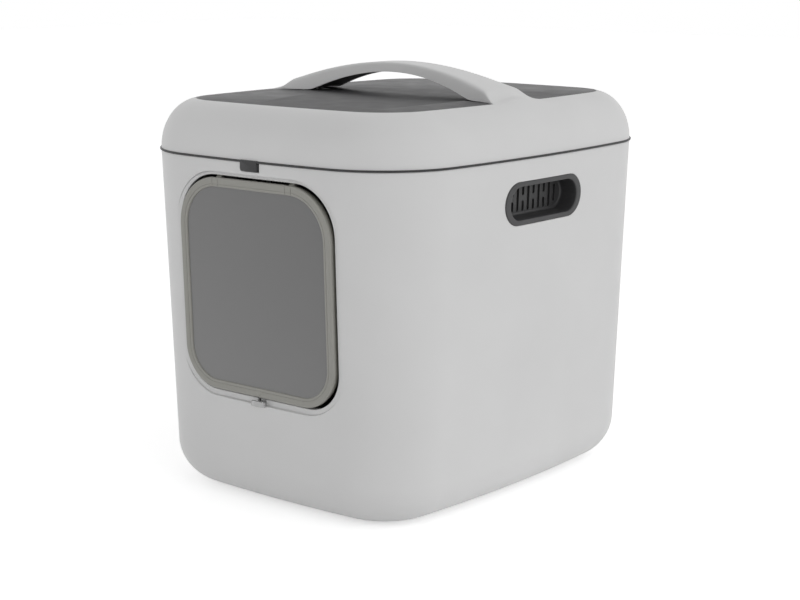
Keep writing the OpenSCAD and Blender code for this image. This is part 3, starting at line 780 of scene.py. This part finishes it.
def knuckle_cutters():
    """Room for the lugs behind the frame, and the fine lines beside them on its front."""
    circle = [(KNUCKLE_R * math.cos(a), KNUCKLE_R * math.sin(a))
              for a in np.linspace(0, 2 * math.pi, 41)[:-1]]
    parts = []
    for s in (-1, 1):
        ends = (s * LUG_X - KNUCKLE_HALF, s * LUG_X + KNUCKLE_HALF)
        parts.append(cutter(loft([[door((x, y, z)) for y, z in circle] for x in ends])))
        parts.append(cutter(box_part(*ends, -KNUCKLE_R, 5, 0, 6)))
        for k in (-LINE_OFF, LINE_OFF):
            line = s * LUG_X + k
            parts.append(cutter(box_part(line - LINE_HALF, line + LINE_HALF, -5, -3.5,
                                         FLAP_TOP - FRAME_W - 1, FLAP_TOP + 1)))
    return parts


cut(flap_ring, *knuckle_cutters())
smooth(flap_ring, 40)
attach(flap_ring, "flap")
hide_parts("flap_frame")


def dome_button(x, z, r, h, y0, place=door, n=32):
    """Low rounded button standing towards the front."""
    turns = np.linspace(0, 2 * math.pi, n + 1)[:-1]
    rings = []
    for b in (math.radians(k) for k in (0, 20, 40, 60, 78)):
        across = r * math.cos(b)
        rings.append([place((x + across * math.cos(a), y0 - h * math.sin(b), z + across * math.sin(a)))
                      for a in turns])
    return loft(rings)


PIP_R, PIP_H = 3.2, 0.6
pip = dome_button(0, FLAP_LOW + FRAME_W / 2, PIP_R, PIP_H, 0.1 - FRAME_T)
closed_up(mesh_object("flap_pip", *pip, MAT_FRAME, "flap", "frame_plastic"))

# Side grips
def slot_shapes(half_count=5, tall=27.9, pitch=9.5, w=4.2, bridge=5.5):
    """Outlines of the grip's slots: short at the ends, then whole and split ones in turn."""
    out = []
    for i in range(-half_count, half_count + 1):
        x = i * pitch

        def slot(z0, z1):
            out.append([(x + p, z) for p, z in rounded(w, z0, z1, w / 2 - 0.05, w / 2 - 0.05, 8, 2)])

        if abs(i) == half_count:
            slot(-tall / 3, tall / 3)
        elif (i + half_count) % 2:
            slot(-tall / 2, tall / 2)
        else:
            slot(-tall / 2, -bridge / 2)
            slot(bridge / 2, tall / 2)
    return out


LIP_IN, END_IN = 5.3, 3.7


def grip_piece(name, side):
    """Cup with a rounded flange, and its slotted back plate."""
    place = grip_place(side)
    prof = ([(0.2, FLANGE_SEAT), (0, 1.7), (0, 0.9)] + arc_profile(0.8, 1.0, 0.8, 0.8, 180, 270, 5)
            + [(4.2, 0.2)] + arc_profile(4.2, 1.3, 1.1, 1.1, -90, 0, 6) + [(5.35, 6), (5.6, 14)]
            + arc_profile(CUP_INSET, CUP_FLOOR - 2.6, 2.6, 2.6, 180, 90, 6))

    def ring(g, y):
        ends = min(g, LIP_IN) * END_IN / LIP_IN
        return [place((x, y, z)) for x, z in stadium(GRIP_L - 2 * g - 2 * ends, GRIP_H - 2 * g)]

    outside = [ring(CUP_INSET, CUP_END), ring(3.6, CUP_END), ring(3.6, FLANGE_SEAT)]
    shell = loft([ring(g, y) for g, y in prof] + outside, closed=True, cap0=False)
    floor = stadium(GRIP_L - 2 * CUP_INSET - 2 * END_IN + 0.1, GRIP_H - 2 * CUP_INSET + 0.1)
    back = slab(floor, CUP_FLOOR, CUP_END, place)
    ob = closed_up(mesh_object(name, *join(shell), MAT_GRIP))
    plate = closed_up(mesh_object(name + "_back", *back, MAT_GRIP))
    cut(plate, cutter(*[slab(s, CUP_FLOOR - 2, CUP_END + 2, place) for s in slot_shapes()]))
    return ob, plate


for grip_name, grip_side in (("grip_left", -1), ("grip_right", 1)):
    cup, plate = grip_piece(grip_name + "_cup", grip_side)
    for piece in (cup, plate):
        smooth(piece, 40)
        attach(piece, "tub")
    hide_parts(grip_name)

# Inner lid
GAP = LID_WALL + INNER_GAP
PANEL_TOP = LIP_Z - 0.4


def inner_lid_mesh():
    """Dark inner lid: skirt inside the tub, flange between tub and lid, and a skin under the lid."""
    share = np.linspace(0, 1, 25)
    low = TUB_TOP - SKIRT_H
    near = wall_t(low) + WALL_H + 0.9
    far, ease = near + INNER_WALL, 0.4
    prof = ([shoulder(GAP + INNER_WALL, s) for s in share[::-1]]
            + [(far, TUB_TOP), (far, low + ease), (far - ease, low), (near + ease, low), (near, low + ease),
               (near, TUB_TOP), (0.5, TUB_TOP), (0.15, TUB_TOP + 0.15), (0, TUB_TOP + 0.5),
               (0, PART_Z - 0.5), (0.15, PART_Z - 0.15), (0.5, PART_Z)]
            + [shoulder(GAP, s) for s in share])
    return loft([level(t, z) for t, z in prof])


closed_up(mesh_object("inner_lid", *inner_lid_mesh(), MAT_INNER, "lid", "inner_lid_plastic",
                      ["lid_inner"]))


def bezier(a, b, c, n):
    return [tuple((1 - k) ** 2 * p + 2 * k * (1 - k) * q + k * k * r for p, q, r in zip(a, b, c))
            for k in (i / n for i in range(n + 1))]


def panel_edge(g):
    """Outline of the raised dark panel, with a notch at each foot of the handle."""
    inset = PANEL_GAP + g
    pts = outline(LIP_T + inset)
    r = SIDE_R - LIP_T - inset
    stop = FOOT_X - 6

    def notch(sx, sy, out):
        """Edge along one side of a foot, from the tip inwards, or outwards."""
        tip_y = TIP_HALF + inset
        tip = (math.sqrt(r * r - tip_y ** 2) + SC[0], tip_y)
        before = (math.sqrt(r * r - (tip_y + 4) ** 2) + SC[0], tip_y + 4)
        xs = np.linspace(tip[0] - 4, stop, 24)
        edge = [(x, handle_half(x / HANDLE_X) + inset) for x in xs]
        line = bezier(before, tip, edge[0], 6) + edge[1:]
        line = [(sx * x, sy * y) for x, y in line]
        return line[::-1] if out else line

    front = [tuple(pts[j]) for j in list(range(LEFT0 + ROWS + 1, N)) + list(range(0, RIGHT0))]
    rear = [tuple(pts[j]) for j in range(RIGHT0 + ROWS + 1, LEFT0)]
    return (notch(-1, -1, True) + front + notch(1, -1, False)
            + notch(1, 1, True) + rear + notch(-1, 1, False))


def panel_mesh():
    top = [(0, PANEL_TOP - 2.5), (0, PANEL_TOP - 0.7), (0.2, PANEL_TOP - 0.2), (0.7, PANEL_TOP)]
    return loft([[(x, y, z) for x, y in panel_edge(g)] for g, z in top])


closed_up(mesh_object("top_panel", *panel_mesh(), MAT_INNER, "lid", "inner_lid_plastic"))


def tab_mesh():
    def ring(g):
        return rounded(TAB_W - 2 * g, PART_Z - TAB_H + g, PART_Z + 0.3 - 0.2 * g, 2.5 - g, 0.3, 8, 3)
    rows = [(0, 6.5), (0, 0.2), (0.25, -0.4), (0.8, -0.8)]
    return loft([[(x, -HD + y, z) for x, z in ring(g)] for g, y in rows])


closed_up(mesh_object("front_tab", *tab_mesh(), MAT_INNER, "lid", "inner_lid_plastic"))

# Materials of the pieces that stay as constructed
FINISH = {"foot_pads": MAT_RUBBER, "handle_liner": MAT_LINER, "handle_screws": MAT_STEEL,
          "flap_pane": MAT_PANE, "flap_back_ring": MAT_BACK, "flap_magnets": MAT_MAGNET,
          "sill_magnets": MAT_MAGNET, "hinge_rod": MAT_STEEL, "hinge_rail": MAT_RAIL,
          "rail_screws": MAT_STEEL, "latch_slider": MAT_CLEAR, "latch_clip": MAT_CLEAR,
          "filter_pad_left": MAT_FELT, "filter_pad_right": MAT_FELT,
          "filter_cover_left": MAT_TUB, "filter_cover_right": MAT_TUB}
for name, finish in FINISH.items():
    nodes[name].data.materials.clear()
    nodes[name].data.materials.append(finish)

# Floor, light and camera
FLOOR_LIFT, FLOOR_HALF = 0.5, 9
SKY_BASE, SKY_SIDES, SKY_RIGHT, SKY_BACK, SKY_LEAST = 0.3, 0.95, 0.4, 0.1, 0.02
TOP_POWER, FRONT_POWER = 6, 18
CAMERA_PLACE, CAMERA_YAW, CAMERA_PITCH = (1.24924, -1.51391, 0.59146), 0.696, 0.200
CAMERA_LENS, CAMERA_SHIFT = 78.64, (0.012, 0.0004)


def background_rays(tree):
    """1 for the rays that show the plain background, 0 for the rays that light the object."""
    path = tree.nodes.new("ShaderNodeLightPath")
    seen = tree.nodes.new("ShaderNodeMath")
    seen.operation = "MAXIMUM"
    tree.links.new(path.outputs["Is Camera Ray"], seen.inputs[0])
    both = tree.nodes.new("ShaderNodeMath")
    both.operation = "MAXIMUM"
    tree.links.new(path.outputs["Is Glossy Ray"], both.inputs[0])
    tree.links.new(path.outputs["Is Transmission Ray"], both.inputs[1])
    tree.links.new(both.outputs[0], seen.inputs[1])
    return seen.outputs[0]


def white_floor():
    me = bpy.data.meshes.new("floor")
    corners = [(x * FLOOR_HALF, y * FLOOR_HALF, 0) for x, y in ((-1, -1), (1, -1), (1, 1), (-1, 1))]
    me.from_pydata(corners, [], [(0, 1, 2, 3)])
    floor = bpy.data.objects.new("floor", me)
    scene.collection.objects.link(floor)
    m = Nodes("floor_white")
    m.shader.inputs["Base Color"].default_value = (0.95, 0.95, 0.95, 1)
    m.shader.inputs["Roughness"].default_value = 0.7
    m.shader.inputs["Specular IOR Level"].default_value = 0.2
    m.shader.inputs["Emission Color"].default_value = (1, 1, 1, 1)
    lift = m.add("ShaderNodeMath", operation="MULTIPLY")
    lift.inputs[1].default_value = FLOOR_LIFT
    m.link(background_rays(m.tree), lift.inputs[0])
    m.link(lift.outputs[0], m.shader.inputs["Emission Strength"])
    me.materials.append(m.mat)


def studio_sky():
    """Soft light that is stronger from the sides, the right and the back, behind a white background."""
    world = bpy.data.worlds.new("studio")
    scene.world = world
    world.use_nodes = True
    tree = world.node_tree
    bg = tree.nodes["Background"]
    coord = tree.nodes.new("ShaderNodeTexCoord")
    split = tree.nodes.new("ShaderNodeSeparateXYZ")
    tree.links.new(coord.outputs["Generated"], split.inputs[0])

    def term(a, b, operation):
        n = tree.nodes.new("ShaderNodeMath")
        n.operation = operation
        for k, v in enumerate((a, b)):
            if isinstance(v, (int, float)):
                n.inputs[k].default_value = v
            else:
                tree.links.new(v, n.inputs[k])
        return n.outputs[0]

    x, y = split.outputs["X"], split.outputs["Y"]
    sides = term(term(x, x, "MULTIPLY"), SKY_SIDES, "MULTIPLY")
    slope = term(term(x, SKY_RIGHT, "MULTIPLY"), term(y, SKY_BACK, "MULTIPLY"), "ADD")
    sky = term(term(term(SKY_BASE, sides, "ADD"), slope, "ADD"), SKY_LEAST, "MAXIMUM")
    pick = tree.nodes.new("ShaderNodeMix")
    pick.data_type = "FLOAT"
    tree.links.new(background_rays(tree), pick.inputs[0])
    tree.links.new(sky, pick.inputs[2])
    pick.inputs[3].default_value = 1.0
    bg.inputs["Color"].default_value = (1, 1, 1, 1)
    tree.links.new(pick.outputs[0], bg.inputs["Strength"])


def area(name, place, aim, size, power):
    light = bpy.data.lights.new(name, "AREA")
    light.shape, light.size, light.size_y, light.energy = "RECTANGLE", size[0], size[1], power
    ob = bpy.data.objects.new(name, light)
    scene.collection.objects.link(ob)
    ob.location = place
    ob.rotation_euler = (Vector(aim) - Vector(place)).to_track_quat("-Z", "Y").to_euler()


def camera():
    cam = bpy.data.cameras.new("view")
    ob = bpy.data.objects.new("view", cam)
    scene.collection.objects.link(ob)
    flat = math.cos(CAMERA_PITCH)
    back = Vector((math.sin(CAMERA_YAW) * flat, -math.cos(CAMERA_YAW) * flat, math.sin(CAMERA_PITCH)))
    ob.location = CAMERA_PLACE
    ob.rotation_euler = back.to_track_quat("Z", "Y").to_euler()
    cam.lens, cam.sensor_width = CAMERA_LENS, 36
    cam.shift_x, cam.shift_y = CAMERA_SHIFT
    cam.clip_start, cam.clip_end = 0.05, 50
    scene.camera = ob


white_floor()
studio_sky()
area("soft_top", (-0.3, 0.9, 2.6), (0, 0, 0.2), (2.6, 2.6), TOP_POWER)
area("soft_front", (-1.2, -3.2, 1.3), (0, 0, 0.3), (2.2, 1.8), FRONT_POWER)
camera()
scene.view_settings.view_transform = "Standard"
